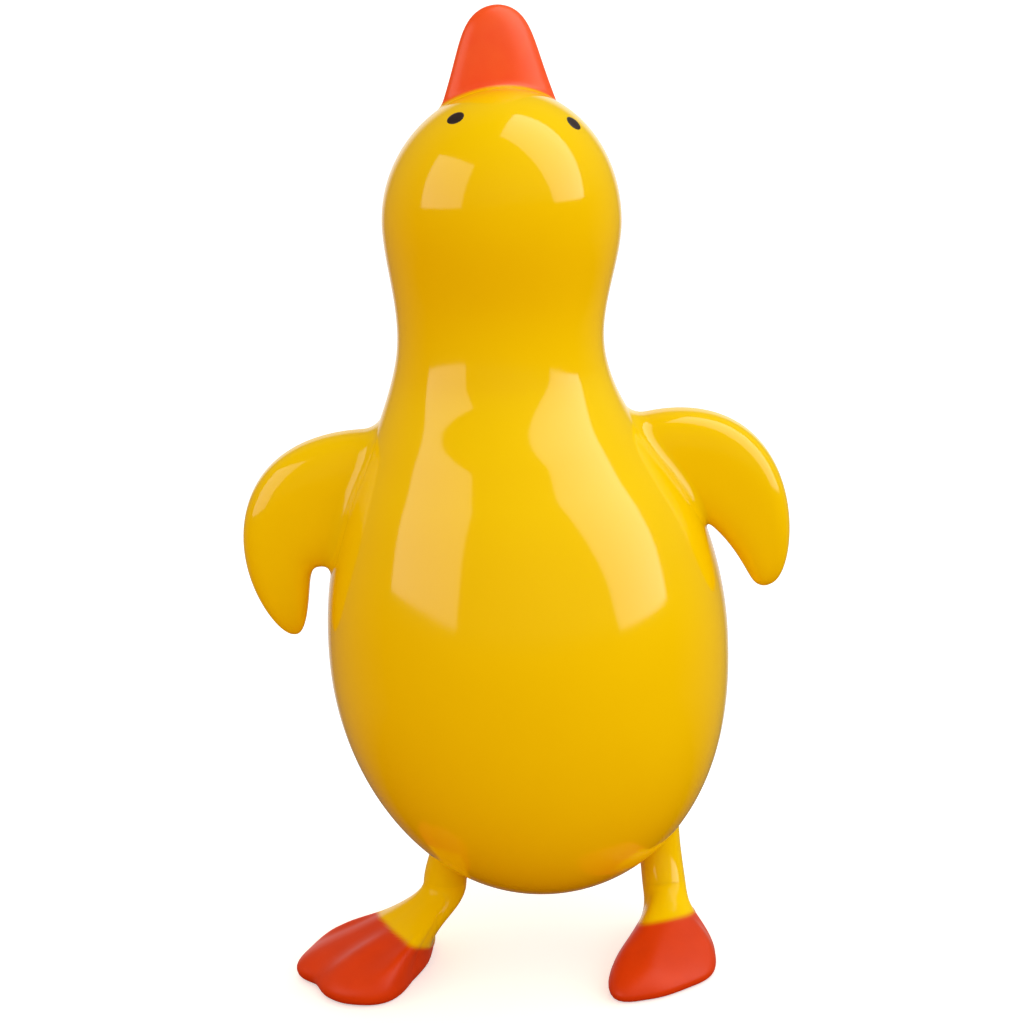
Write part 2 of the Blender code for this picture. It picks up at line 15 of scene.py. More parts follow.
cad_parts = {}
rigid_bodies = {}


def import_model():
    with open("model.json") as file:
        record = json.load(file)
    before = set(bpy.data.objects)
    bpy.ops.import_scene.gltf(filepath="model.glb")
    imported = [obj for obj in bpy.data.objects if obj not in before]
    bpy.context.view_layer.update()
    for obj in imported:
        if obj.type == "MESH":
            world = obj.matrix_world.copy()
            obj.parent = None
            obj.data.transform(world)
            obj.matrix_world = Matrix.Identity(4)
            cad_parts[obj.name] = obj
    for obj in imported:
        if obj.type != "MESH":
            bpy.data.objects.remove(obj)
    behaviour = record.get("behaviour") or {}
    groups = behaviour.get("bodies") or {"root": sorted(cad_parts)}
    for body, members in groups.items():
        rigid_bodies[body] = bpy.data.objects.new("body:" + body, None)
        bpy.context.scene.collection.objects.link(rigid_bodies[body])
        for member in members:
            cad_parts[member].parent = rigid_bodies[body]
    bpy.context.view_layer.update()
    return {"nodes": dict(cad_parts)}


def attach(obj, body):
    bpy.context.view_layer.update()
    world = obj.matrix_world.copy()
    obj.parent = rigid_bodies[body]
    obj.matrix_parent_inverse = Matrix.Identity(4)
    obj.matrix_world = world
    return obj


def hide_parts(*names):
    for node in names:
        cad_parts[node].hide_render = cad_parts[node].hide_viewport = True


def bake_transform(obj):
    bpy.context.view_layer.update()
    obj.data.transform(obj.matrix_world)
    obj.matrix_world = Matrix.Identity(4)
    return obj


MM = 0.001

for thing in list(bpy.data.objects):
    bpy.data.objects.remove(thing, do_unlink=True)
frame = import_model()

# %% [markdown]
# ## The outline of the skin
# The body is round, so its shape is one outline turned about an upright axis. It could be drawn as a
# curve and spun, but a formula for the radius at each height is better here, because the wings, legs
# and bill need to know where the skin is in order to grow out of it. All lengths are in millimetres.

# %% Heights and radii
BELLY_RADIUS = 40.4
BELLY_LOW = 15.0
BELLY_DROP = 53.0
BELLY_RISE = 57.0
BELLY_ROUNDING = 0.95
SHOULDER_ANGLE = np.radians(42.0)
NECK_RADIUS = 20.5
NECK_RISE = 63.3
HEAD_RADIUS = 23.5
HEAD_RISE = 23.0
CROWN_RISE = 27.0
BILL_LENGTH = 15.2
WALL = 2.3

BELLY_HEIGHT = BELLY_LOW + BELLY_DROP
SHOULDER_HEIGHT = BELLY_HEIGHT + BELLY_RISE * np.sin(SHOULDER_ANGLE)
SHOULDER_RADIUS = BELLY_RADIUS * np.cos(SHOULDER_ANGLE)
SHOULDER_SLOPE = -BELLY_RADIUS / BELLY_RISE * np.tan(SHOULDER_ANGLE)
NECK_HEIGHT = BELLY_HEIGHT + NECK_RISE
HEAD_HEIGHT = NECK_HEIGHT + HEAD_RISE
CROWN_HEIGHT = HEAD_HEIGHT + CROWN_RISE
BILL_TIP = CROWN_HEIGHT + BILL_LENGTH


def smooth_step(t):
    """S-curve from 0 to 1, flat at both ends: three t squared less two t cubed."""
    t = np.clip(t, 0.0, 1.0)
    return t * t * (3.0 - 2.0 * t)


def skin_radius(height):
    """Radius of the skin at a height. Each stretch has its own formula: a fuller ellipse under the
    widest ring, an ellipse over it, an S-curve with a slope to match at the shoulder up to the neck,
    an S-curve up to the head, and an ellipse for the crown."""
    deep = np.clip((BELLY_HEIGHT - height) / BELLY_DROP, 0.0, 1.0) ** (1.0 / BELLY_ROUNDING)
    under = BELLY_RADIUS * (1.0 - deep**2) ** (0.5 * BELLY_ROUNDING)
    over = BELLY_RADIUS * np.sqrt(1.0 - np.clip((height - BELLY_HEIGHT) / BELLY_RISE, 0.0, 1.0) ** 2)
    run = NECK_HEIGHT - SHOULDER_HEIGHT
    t = np.clip((height - SHOULDER_HEIGHT) / run, 0.0, 1.0)
    throat = SHOULDER_RADIUS + (NECK_RADIUS - SHOULDER_RADIUS) * smooth_step(t)
    throat = throat + SHOULDER_SLOPE * run * t * (1.0 - t) ** 2
    nape = NECK_RADIUS + (HEAD_RADIUS - NECK_RADIUS) * smooth_step((height - NECK_HEIGHT) / HEAD_RISE)
    crown = HEAD_RADIUS * np.sqrt(1.0 - np.clip((height - HEAD_HEIGHT) / CROWN_RISE, 0.0, 1.0) ** 2)
    tops = (BELLY_HEIGHT, SHOULDER_HEIGHT, NECK_HEIGHT, HEAD_HEIGHT)
    return np.select([height < top for top in tops], [under, over, throat, nape], crown)


print("skin radius at the neck", skin_radius(np.array(NECK_HEIGHT)))

# %% [markdown]
# ## The lean of the moulding
# A soft moulding never stands quite straight. Seen from the front the axis wanders sideways by a few
# millimetres. Seen from the side the breast comes forward, the neck leans back and the head comes
# forward again. Both are small shifts of the axis at each height, so the round outline stays round.

# %% Sway and lean
SWAY = ((15.0, 1.8), (68.0, 0.2), (90.0, 0.0), (118.7, -2.0), (154.3, 0.4), (196.5, 1.7))
LEAN = ((84.0, 0.0), (112.0, -1.4), (126.5, 1.7), (142.0, 3.0), (190.0, -3.9))
SLOPE_STEP = 0.05
NEWTON_STEPS = 3


def between(stations, height):
    """Value at a height: stations give heights and values, with an S-curve from each to the next."""
    heights, values = np.array(stations).T
    i = np.clip(np.searchsorted(heights, height, side="right") - 1, 0, len(heights) - 2)
    t = (height - heights[i]) / (heights[i + 1] - heights[i])
    return values[i] + (values[i + 1] - values[i]) * smooth_step(t)


def sway(height):
    """Shift of the axis to the bird's left."""
    return between(SWAY, height)


def lean(height):
    """Shift of the axis to the bird's back."""
    return between(LEAN, height)


def off_skin(points):
    """How far points stand outside the skin; less than 0 is inside. Between belly and head it is the
    level distance from the axis, less the radius. Over the head and under the belly, where the skin
    closes, it is how much a shell of the same form through the point is larger, times the radius."""
    x, y, z = np.moveaxis(points, -1, 0)
    level = np.hypot(x - sway(z), y - lean(z))
    crown = HEAD_RADIUS * (np.hypot(level / HEAD_RADIUS, (z - HEAD_HEIGHT) / CROWN_RISE) - 1.0)
    power = 2.0 / BELLY_ROUNDING
    deep = np.clip(BELLY_HEIGHT - z, 0.0, None) / BELLY_DROP
    bottom = BELLY_RADIUS * (((level / BELLY_RADIUS) ** power + deep**power) ** (1.0 / power) - 1.0)
    return np.select([z > HEAD_HEIGHT, z < BELLY_HEIGHT], [crown, bottom], level - skin_radius(z))


def skin_slope(points):
    """Change of off_skin per millimetre along the three axes, from a small step to each side."""
    steps = SLOPE_STEP * np.eye(3)
    rise = np.stack([off_skin(points + s) - off_skin(points - s) for s in steps], axis=-1)
    return rise / (2.0 * SLOPE_STEP)


def unit(vectors):
    """Vectors made one long."""
    return vectors / np.linalg.norm(vectors, axis=-1, keepdims=True)


def skin_normal(points):
    """Outward direction of the skin: its slope made one long."""
    return unit(skin_slope(points))


def on_skin(points, sunk):
    """Points moved along the skin's normal until they lie a little under it, in a few Newton steps."""
    for _ in range(NEWTON_STEPS):
        slope = skin_slope(points)
        steep = np.linalg.norm(slope, axis=-1)
        points = points - slope * (off_skin(points) / steep**2 + sunk / steep)[..., None]
    return points


print("lean of the axis at the neck in mm", round(float(lean(NECK_HEIGHT)), 2))

# %% [markdown]
# ## From a grid of points to a mesh
# Every skin in this lesson is a grid: rows that run round the piece, one after the other from end to
# end. Neighbouring rows are joined by quads, and the first and last rows shrink to a point. Building
# the faces from index arrays needs no loop over points. The sign of the volume tells whether the
# faces look outwards, so a grid may be listed in either direction.

# %% Grid to mesh
SHARP_EDGE = np.radians(50.0)
MERGE_REACH = 1e-7
CUBIC_CM = 1e-6


def add_skin(name, grid, paint=None):
    """Closed, smooth mesh object from a grid of rows by sides by three, given in millimetres."""
    rows, sides = grid.shape[:2]
    ring = np.arange(rows * sides).reshape(rows, sides)
    turned = np.roll(ring, -1, axis=1)
    quads = np.stack([ring[:-1], turned[:-1], turned[1:], ring[1:]], axis=-1).reshape(-1, 4)
    points = grid.reshape(-1, 3) * MM
    a, b, c, d = np.moveaxis(points[quads], 1, 0)
    six_volumes = np.einsum("ij,ij->", a, np.cross(b, c)) + np.einsum("ij,ij->", a, np.cross(c, d))
    if six_volumes < 0.0:
        quads = quads[:, ::-1]
    mesh = bpy.data.meshes.new(name)
    mesh.from_pydata(points.tolist(), [], quads.tolist())
    if paint is not None:
        layer = mesh.attributes.new("paint", "FLOAT", "POINT")
        layer.data.foreach_set("value", paint.reshape(-1).astype(np.float32))
    bm = bmesh.new()
    bm.from_mesh(mesh)
    bmesh.ops.remove_doubles(bm, verts=bm.verts[:], dist=MERGE_REACH)
    bm.to_mesh(mesh)
    bm.free()
    mesh.shade_smooth()
    mesh.set_sharp_from_angle(angle=SHARP_EDGE)
    piece = bpy.data.objects.new(name, mesh)
    bpy.context.scene.collection.objects.link(piece)
    print(name, len(mesh.vertices), "points,", round(abs(six_volumes) / 6.0 / CUBIC_CM, 2), "cubic cm")
    return piece


# %% [markdown]
# ## Belly, neck and head
# The real skin is a hollow wall about 2.3 mm thick, rotation moulded in one piece, with a round hole
# in a shallow recess under the belly for the squeaker. The outline runs from the crown down the
# outside, round the recess, through the hole and up the inside, so the wall is closed and even. The
# inside is the outside moved in by the wall along its own normal.

# %% The wall's outline
HOLE_RADIUS = 8.0
RECESS_RADIUS = 9.8
PLUG_DEPTH = 2.0
CROWN_ROWS = 55
NECK_ROWS = 55
SHOULDER_ROWS = 44
UNDER_ROWS = 73
SIDES_ROUND = 192


def corner_cut(line):
    """Softer copy of a line of points: each corner is cut at a quarter of its two sides, twice."""
    for _ in range(2):
        start, end = line[:-1], line[1:]
        pair = np.stack([0.75 * start + 0.25 * end, 0.25 * start + 0.75 * end], axis=1)
        line = np.vstack([line[:1], pair.reshape(-1, 2), line[-1:]])
    return line


def turned_outline(line):
    """Grid from an outline of radius and height turned about the leaning axis."""
    turn = np.linspace(0.0, 2.0 * np.pi, SIDES_ROUND, endpoint=False)
    radius, height = line[:, :1], line[:, 1:]
    level = np.broadcast_to(height, (len(line), SIDES_ROUND))
    x = sway(height) + radius * np.cos(turn)
    y = lean(height) + radius * np.sin(turn)
    return np.stack([x, y, level], axis=-1)


crown_latitude = np.linspace(0.5 * np.pi, 0.0, CROWN_ROWS)
crown_heights = HEAD_HEIGHT + CROWN_RISE * np.sin(crown_latitude)
neck_heights = np.linspace(HEAD_HEIGHT, SHOULDER_HEIGHT, NECK_ROWS)[1:]
shoulder_latitude = np.linspace(SHOULDER_ANGLE, 0.0, SHOULDER_ROWS)[1:]
shoulder_heights = BELLY_HEIGHT + BELLY_RISE * np.sin(shoulder_latitude)
rim_latitude = np.arccos((RECESS_RADIUS / BELLY_RADIUS) ** (1.0 / BELLY_ROUNDING))
under_latitude = np.linspace(0.0, rim_latitude, UNDER_ROWS)[1:]
under_heights = BELLY_HEIGHT - BELLY_DROP * np.sin(under_latitude) ** BELLY_ROUNDING
heights = np.concatenate([crown_heights, neck_heights, shoulder_heights, under_heights])
outside = np.stack([skin_radius(heights), heights], axis=-1)

seat = under_heights[-1] + PLUG_DEPTH
boss = RECESS_RADIUS + WALL
along = unit(np.gradient(outside, axis=0))
inside = outside + WALL * np.stack([along[:, 1], -along[:, 0]], axis=-1)
inside[0] = (0.0, CROWN_HEIGHT - WALL)
inside = inside[(inside[:, 1] >= BELLY_HEIGHT) | (inside[:, 0] >= boss)]
recess = np.array([
    outside[-1], (RECESS_RADIUS, seat), (HOLE_RADIUS, seat), (HOLE_RADIUS, seat + WALL),
    (boss, seat + WALL), inside[-1],
])
wall = np.vstack([outside[:-1], corner_cut(recess), inside[-2::-1]])
print("recess floor at", round(float(seat), 2), "mm; the hole is", 2.0 * HOLE_RADIUS, "mm wide")

body_skin = add_skin("body_skin", turned_outline(wall))
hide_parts("body_shell", "neck", "head_shell")
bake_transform(body_skin)

# %% [markdown]
# ## Limbs that grow out of the skin
# On the real toy a wing or a leg flows out of the body with a small hollow round its root, because
# the mould was cut with a ball-nosed tool. A boolean join and a bevel could give that, but on curved
# skins it often tears. Here each line along the limb is followed to the place where it leaves the
# body. The last stretch is swapped for a Bezier curve that leaves the limb along its own direction
# and lands on the body level with the skin, so the light runs over the join without a seam. Under
# the skin a short skirt closes the limb off, out of sight.

# %% Roots
SCAN_STEPS = 601
ROOT_ROWS = 14
ROOT_SUNK = 0.03
ROOT_FLANGE = 0.5
ROOT_FLANGE_SUNK = 0.15
SKIRT_DEPTH = 1.5
HANDLE = 0.62
STEP = 1e-3


def bezier(points, t):
    """Point of a cubic Bezier curve: the four points weighted by the cubes of t and its remainder."""
    a, b, c, d = (np.asarray(p, float) for p in points)
    t = np.asarray(t, float)[..., None]
    u = 1.0 - t
    return a * u**3 + 3.0 * b * u * u * t + 3.0 * c * u * t * t + d * t**3


def root(line, turns, reach):
    """Rows from a limb's closed inner end out over its fillet, and the t at which each line goes on.
    line(t, turn) gives the limb's points, and reach is the fillet's size for each turn."""
    scan = np.linspace(0.0, 1.0, SCAN_STEPS)
    gap = off_skin(line(scan[:, None], turns[None, :]))
    last = SCAN_STEPS - 2 - np.argmax((gap[:-1] < 0.0)[::-1], axis=0)
    column = np.arange(len(turns))
    low, high = gap[last, column], gap[last + 1, column]
    t_skin = scan[last] - low / (high - low) * (scan[1] - scan[0])
    skin = line(t_skin, turns)
    speed = np.linalg.norm(line(t_skin + STEP, turns) - skin, axis=-1) / STEP
    t_leave = t_skin + reach / speed
    leave = line(t_leave, turns)
    back = unit(line(t_leave - STEP, turns) - leave)

    normal = skin_normal(skin)
    around = np.roll(skin, -1, axis=0) - np.roll(skin, 1, axis=0)
    away = unit(np.cross(around, normal))
    away = away * np.sign(np.sum(away * (skin - skin.mean(axis=0)), axis=-1).mean())
    land = on_skin(skin + away * reach[:, None], ROOT_SUNK)
    land_normal = skin_normal(land)
    away = unit(away - land_normal * np.sum(away * land_normal, axis=-1, keepdims=True))

    to_limb = np.linalg.norm(leave - skin, axis=-1, keepdims=True)
    to_land = np.linalg.norm(land - skin, axis=-1, keepdims=True)
    handles = (land, land - away * HANDLE * to_land, leave + back * HANDLE * to_limb, leave)
    fillet = bezier(handles, np.linspace(0.0, 1.0, ROOT_ROWS)[:, None])
    flange = land + away * ROOT_FLANGE - land_normal * ROOT_FLANGE_SUNK
    skirt = land - land_normal * SKIRT_DEPTH
    pole = np.broadcast_to(skirt.mean(axis=0) - land_normal.mean(axis=0), skirt.shape)
    return np.concatenate([np.stack([pole, 0.5 * (pole + skirt), skirt, flange]), fillet]), t_leave


print("roots are filleted in", ROOT_ROWS, "rows")

# %% [markdown]
# ## Wings
# Each wing is a soft paddle. Its leading and trailing edges are two curves drawn in an upright plane,
# and each section between them has flat faces and round edges, a superellipse. The two wings share
# the leading edge; each has a trailing edge and an angle of its own, as the photograph shows. Near
# the root the real rubber flexes.

# %% Wing skins
HANDS = {"left": 1.0, "right": -1.0}
WING_LEADING = ((-23.5, 22.1), (1.8, 31.8), (19.8, 19.1), (14.5, -12.0))
WING_TRAILING = {
    "left": ((-11.9, 1.6), (-3.7, 11.7), (8.0, -11.2), (4.7, -14.9)),
    "right": ((-11.9, 1.6), (0.9, -8.2), (2.3, 11.5), (4.0, -15.0)),
}
WING_RAISE = {"left": np.radians(2.8), "right": np.radians(-10.3)}
ARMPIT_RISE = {"left": 21.1, "right": 19.0}
ARMPIT_STANDOFF = {"left": 2.6, "right": 1.5}
WING_HALF_THICKNESS = 6.4
WING_TIP_SHARE = 0.85
WING_SQUARENESS = 0.7
WING_BLUNTNESS = 9
WING_SHIFT = {"left": -0.78, "right": -0.62}
WING_SET_BACK = 1.0
WING_FILLET = 3.0
WING_FILLET_DROP = 0.9
WING_ROWS = 70
WING_SIDES = 160


def armpit(side):
    """Where the lower edge of the wing meets the belly: sideways distance from the axis, and height."""
    rise = ARMPIT_RISE[side]
    belly = BELLY_RADIUS * np.sqrt(1.0 - (rise / BELLY_RISE) ** 2)
    return np.array([belly + ARMPIT_STANDOFF[side], BELLY_HEIGHT + rise])


def wing_points(side, t, turn):
    """Paddle: the middle of the two edges at t, plus half their distance times the cosine of the turn
    in the wing's plane, plus the half thickness times its sine. Cosine and sine are raised to a power
    under 1, which makes the faces flatter. Root of one less t to the ninth rounds the tip."""
    t, turn = np.broadcast_arrays(np.asarray(t, float), np.asarray(turn, float))
    lead, trail = bezier(WING_LEADING, t), bezier(WING_TRAILING[side], t)
    blunt = np.sqrt(1.0 - np.clip(t, 0.0, 1.0) ** WING_BLUNTNESS)
    across, through = (np.sign(v) * np.abs(v) ** WING_SQUARENESS for v in (np.cos(turn), np.sin(turn)))
    flat = 0.5 * (lead + trail) + 0.5 * (lead - trail) * (blunt * across)[..., None]
    c, s = np.cos(WING_RAISE[side]), np.sin(WING_RAISE[side])
    pit = armpit(side)
    out = pit[0] + c * flat[..., 0] - s * flat[..., 1]
    up = pit[1] + s * flat[..., 0] + c * flat[..., 1]
    thick = WING_HALF_THICKNESS * (1.0 - (1.0 - WING_TIP_SHARE) * smooth_step(t)) * blunt
    sideways = WING_SHIFT[side] + HANDS[side] * out
    return np.stack([sideways, WING_SET_BACK + thick * through, up], axis=-1)


def wing_grid(side):
    """Rows of the wing from its closed root to its tip, closer together near the tip. The fillet is
    smaller in the armpit."""
    turns = np.linspace(0.0, 2.0 * np.pi, WING_SIDES, endpoint=False)
    reach = WING_FILLET - WING_FILLET_DROP * np.clip(-np.cos(turns), 0.0, 1.0) ** 4
    rows, t_leave = root(lambda t, turn: wing_points(side, t, turn), turns, reach)
    s = np.linspace(0.0, 1.0, WING_ROWS)[1:, None]
    t = t_leave + (1.0 - t_leave) * (1.0 - (1.0 - s) ** 2)
    return np.concatenate([rows, wing_points(side, t, turns[None, :])])


for side, hand in HANDS.items():
    wing = add_skin(f"wing_{side}_skin", wing_grid(side))
    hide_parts(f"wing_root_{side}", f"wing_{side}")
    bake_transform(wing)

# %% [markdown]
# ## Legs and feet
# A leg is a thin tube along a bent centre line. Where it reaches the floor it flares into a webbed
# foot: each spoke leaves the ankle down the leg and sweeps out to the foot's outline, which is
# given by its reach in each direction. Toes are low ridges along three of the spokes. The leg is
# bare yellow rubber and the foot is sprayed, so they are two pieces cut from one grid. At the cut
# each has a narrow flange just under the other, which keeps the shading level across it.

# %% Leg tubes
LEG_PATHS = {
    "left": ((24.6, 2.0, 36.0), (24.3, 2.0, 26.0), (24.6, 1.8, 17.8), (25.0, -1.6, 11.9)),
    "right": ((-16.6, 2.0, 34.0), (-15.8, 2.0, 26.5), (-19.8, 1.9, 19.9), (-20.3, 1.7, 15.1)),
}
LEG_RADIUS = 4.25
HIP_FLARE = 0.5
ANKLE_FLARE = 0.2
LEG_FILLET = 1.4
LEG_SIDES = 160
LEG_ROWS = 24
LINE_STEP = 1e-4
FOOT_HEADINGS = {"left": np.radians(-3.0), "right": np.radians(47.0)}


def unit_heading(side):
    """Unit vectors along the foot and across it outwards, seen from above."""
    angle, hand = FOOT_HEADINGS[side], HANDS[side]
    ahead = np.array([np.sin(angle) * hand, -np.cos(angle), 0.0])
    return ahead, np.array([-ahead[1], ahead[0], 0.0]) * hand


def leg_points(side, t, turn):
    """Tube: the centre line at t plus the radius times the cosine of the turn ahead and its sine
    outwards, both square to the line. The radius flares at the hip and at the ankle."""
    t, turn = np.broadcast_arrays(np.asarray(t, float), np.asarray(turn, float))
    path = LEG_PATHS[side]
    down = unit(bezier(path, t + LINE_STEP) - bezier(path, t - LINE_STEP))
    heading, outwards = unit_heading(side)
    ahead = unit(heading - down * (down @ heading)[..., None])
    aside = outwards - down * (down @ outwards)[..., None]
    aside = unit(aside - ahead * np.sum(ahead * aside, axis=-1, keepdims=True))
    radius = LEG_RADIUS + HIP_FLARE * (1.0 - smooth_step(2.0 * t))
    radius = radius + ANKLE_FLARE * smooth_step(2.0 * t - 1.0)
    ring = ahead * np.cos(turn)[..., None] + aside * np.sin(turn)[..., None]
    return bezier(path, t) + radius[..., None] * ring


print("legs are", 2.0 * LEG_RADIUS, "mm thick")

# %% Webbed feet
FOOT_CENTRES = {"left": (25.2, -1.6, 0.0), "right": (-30.5, -1.3, 0.0)}
OUTLINE_ANGLES = (-180, -140, -95, -60, -40, -22, -8, 8, 24, 42, 65, 95, 140)
FOOT_OUTLINES = {
    "left": (11.5, 7.4, 6.4, 8.5, 16.5, 30.0, 28.8, 24.7, 21.1, 14.3, 9.3, 5.8, 8.9),
    "right": (9.2, 6.9, 8.2, 13.2, 22.7, 24.7, 24.0, 21.6, 22.5, 19.3, 15.0, 10.8, 10.6),
}
FOOT_EDGE = {"left": 1.6, "right": 2.3}
ANKLE_PULL = {"left": 5.0, "right": 5.8}
EDGE_PULL = {"left": (4.0, -0.9, 0.5), "right": (4.9, 0.5, -1.0)}
TOE_ANGLES = {"left": np.radians((-29.0, -9.0, 34.0)), "right": np.radians((-40.0, -9.0, 50.0))}
TOE_RIDGE = 0.9
TOE_SPREAD = np.radians(8.0)
TOE_RISE_FROM = 0.35
TOE_FALL_FROM = 0.7
TOE_RAMP = 0.3
WEB_ROWS = 64
EDGE_ROWS = 9
SOLE_ROWS = 6


def outline_reach(side, turns):
    """Smooth closed curve through the outline's reaches: between two angles a cubic with the slope of
    its neighbours at each end."""
    angles = np.array(OUTLINE_ANGLES, float)
    reach = np.array(FOOT_OUTLINES[side])
    lap = (np.degrees(turns) - angles[0]) % 360.0 + angles[0]
    i = np.searchsorted(angles, lap, side="right") - 1
    count = len(angles)
    a0, a1, a2, a3 = (angles[(i + k) % count] + 360.0 * ((i + k) // count) for k in (-1, 0, 1, 2))
    v0, v1, v2, v3 = (reach[(i + k) % count] for k in (-1, 0, 1, 2))
    span = a2 - a1
    t = (lap - a1) / span
    leaving = (v2 - v0) / (a2 - a0) * span
    arriving = (v3 - v1) / (a3 - a1) * span
    return v1 + (v2 - v1) * smooth_step(t) + leaving * t * (1.0 - t) ** 2 - arriving * t * t * (1.0 - t)


def foot_rows(side, turns):
    """Rows from the ankle over the web, round the edge and in over the flat sole to its middle. Each
    spoke is a Bezier curve that leaves the ankle down the leg and comes upright onto the outline. The
    pull at the outline is a value plus shares of the cosine and sine of the turn. A bell curve about
    each toe's angle raises the ridges, which rise and fall along the spoke."""
    heading, outwards = unit_heading(side)
    down = unit(bezier(LEG_PATHS[side], 1.0) - bezier(LEG_PATHS[side], 1.0 - STEP))
    collar = leg_points(side, np.ones_like(turns), turns)
    out = heading * np.cos(turns)[:, None] + outwards * np.sin(turns)[:, None]
    reach = outline_reach(side, turns)[:, None]
    edge = FOOT_EDGE[side]
    up = np.array([0.0, 0.0, 1.0])
    middle, ahead_share, out_share = EDGE_PULL[side]
    pull = (middle + ahead_share * np.cos(turns) + out_share * np.sin(turns))[:, None]

    s = np.linspace(0.0, 1.0, WEB_ROWS)[1:, None]
    rim = np.array(FOOT_CENTRES[side]) + out * reach + up * edge
    web = bezier((collar, collar + down * ANKLE_PULL[side], rim + up * pull, rim), s)
    off_toe = (turns[:, None] - TOE_ANGLES[side] + np.pi) % (2.0 * np.pi) - np.pi
    ridge = TOE_RIDGE * np.exp(-((off_toe / TOE_SPREAD) ** 2)).sum(axis=1)
    falling = smooth_step((s - TOE_FALL_FROM) / TOE_RAMP)
    swell = smooth_step((s - TOE_RISE_FROM) / TOE_RAMP) * (1.0 - falling)
    web = web + up * (ridge * swell)[..., None]

    roll = np.linspace(0.0, 0.5 * np.pi, EDGE_ROWS)[1:, None, None]
    turn_in = rim - out * edge * (1.0 - np.cos(roll)) - up * edge * np.sin(roll)
    inwards = np.linspace(1.0, 0.0, SOLE_ROWS)[1:, None, None]
    sole = np.array(FOOT_CENTRES[side]) + out * ((reach - edge) * inwards)
    return np.concatenate([web, turn_in, sole])


print("longest toes in mm", [max(FOOT_OUTLINES[side]) for side in HANDS])

# %% Cutting the leg from the foot
CUT_AT = 0.97
ANKLE_ROWS = 6
FLANGE = 0.04
FLANGE_SUNK = 0.008
PAINT_LINES = {"left": (25.0, 5.9, 0.1, -0.3), "right": (-27.0, 4.6, -0.667, -0.249)}
PAINT_FADE = 1.4


def flange_rows(side, t, turns, away):
    """Hidden end at a cut: a row a little way past it and just under the skin, then in to a point."""
    centre = bezier(LEG_PATHS[side], np.array([t + away * FLANGE]))
    ring = leg_points(side, np.full_like(turns, t + away * FLANGE), turns)
    ring = ring + unit(centre - ring) * FLANGE_SUNK
    return np.stack([ring, 0.5 * (ring + centre), np.broadcast_to(centre, ring.shape)])


def paint_edge(side, points):
    """Share of foot paint: 1 under the spray line, 0 over it, with a soft edge between them. The line
    is a tilted plane: its height at a place, plus its slopes sideways and to the back."""
    x, y, z = np.moveaxis(points, -1, 0)
    middle, height, sideways, backwards = PAINT_LINES[side]
    line = height + sideways * (x - middle) + backwards * y
    return smooth_step(0.5 + (line - z) / PAINT_FADE)


feet = []
for side in HANDS:
    turns = np.linspace(-np.pi, np.pi, LEG_SIDES, endpoint=False)
    fillet = np.full(LEG_SIDES, LEG_FILLET)
    rows, t_leave = root(lambda t, turn: leg_points(side, t, turn), turns, fillet)
    s = np.linspace(0.0, 1.0, LEG_ROWS)[1:, None]
    tube = leg_points(side, t_leave + (CUT_AT - t_leave) * s, turns[None, :])
    hidden = flange_rows(side, CUT_AT, turns, 1.0)
    leg = add_skin(f"leg_{side}_skin", np.concatenate([rows, tube, hidden]))
    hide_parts(f"hip_{side}", f"leg_{side}")
    hip = on_skin(rows[-1].mean(axis=0), 0.0)
    clear = skin_normal(hip)
    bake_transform(leg)

    s = np.linspace(0.0, 1.0, ANKLE_ROWS)[:, None]
    ankle = leg_points(side, CUT_AT + (1.0 - CUT_AT) * s, turns[None, :])
    hidden = flange_rows(side, CUT_AT, turns, -1.0)[::-1]
    foot_grid = np.concatenate([hidden, ankle, foot_rows(side, turns)])
    foot = add_skin(f"foot_{side}_skin", foot_grid, paint_edge(side, foot_grid))
    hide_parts(f"foot_{side}")
    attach(foot, f"{side}_leg")
    feet.append(foot)

# %% [markdown]
# ## Bill
# The bill is a flat spade that points straight up, because the bird looks at the sky. Its sections are
# ellipses that narrow to a rounded tip, turned a little with the head. It grows out of the crown as
# the wings grow out of the belly. The paint was sprayed through a mask that stops at its foot, so the
# last millimetre of the fillet fades back to yellow.

# %% Bill skin
BILL_SUNK = 9.3
BILL_BASE = CROWN_HEIGHT - BILL_SUNK
BILL_HALF_WIDTHS = (13.6, 6.1)
BILL_HOLLOW = 2.7
BILL_HALF_THICKNESSES = (4.8, 2.8)
BILL_BLUNTNESS = 9
BILL_SET_BACK = 3.5
BILL_TURN = np.radians(15.0)
BILL_FILLET = 1.5
BILL_PAINT_FROM = -0.05
BILL_PAINT_FADE = 0.7
BILL_ROWS = 60
BILL_SIDES = 128


def bill_points(t, turn):
    """Spade: the half width falls with height from the first to the second value, with the sides
    hollowed in by a share of t times one less t. Root of one less t to the ninth rounds the
    tip, in width and thickness alike."""
    t, turn = np.broadcast_arrays(np.asarray(t, float), np.asarray(turn, float))
    blunt = np.sqrt(1.0 - np.clip(t, 0.0, 1.0) ** BILL_BLUNTNESS)
    wide, thick = (a + (b - a) * t for a, b in (BILL_HALF_WIDTHS, BILL_HALF_THICKNESSES))
    wide = wide - BILL_HOLLOW * t * (1.0 - t)
    height = BILL_BASE + (BILL_TIP - BILL_BASE) * t
    a = wide * blunt * np.cos(turn)
    b = thick * blunt * np.sin(turn)
    c, s = np.cos(BILL_TURN), np.sin(BILL_TURN)
    return np.stack([sway(height) + a * c - b * s, BILL_SET_BACK + a * s + b * c, height], axis=-1)


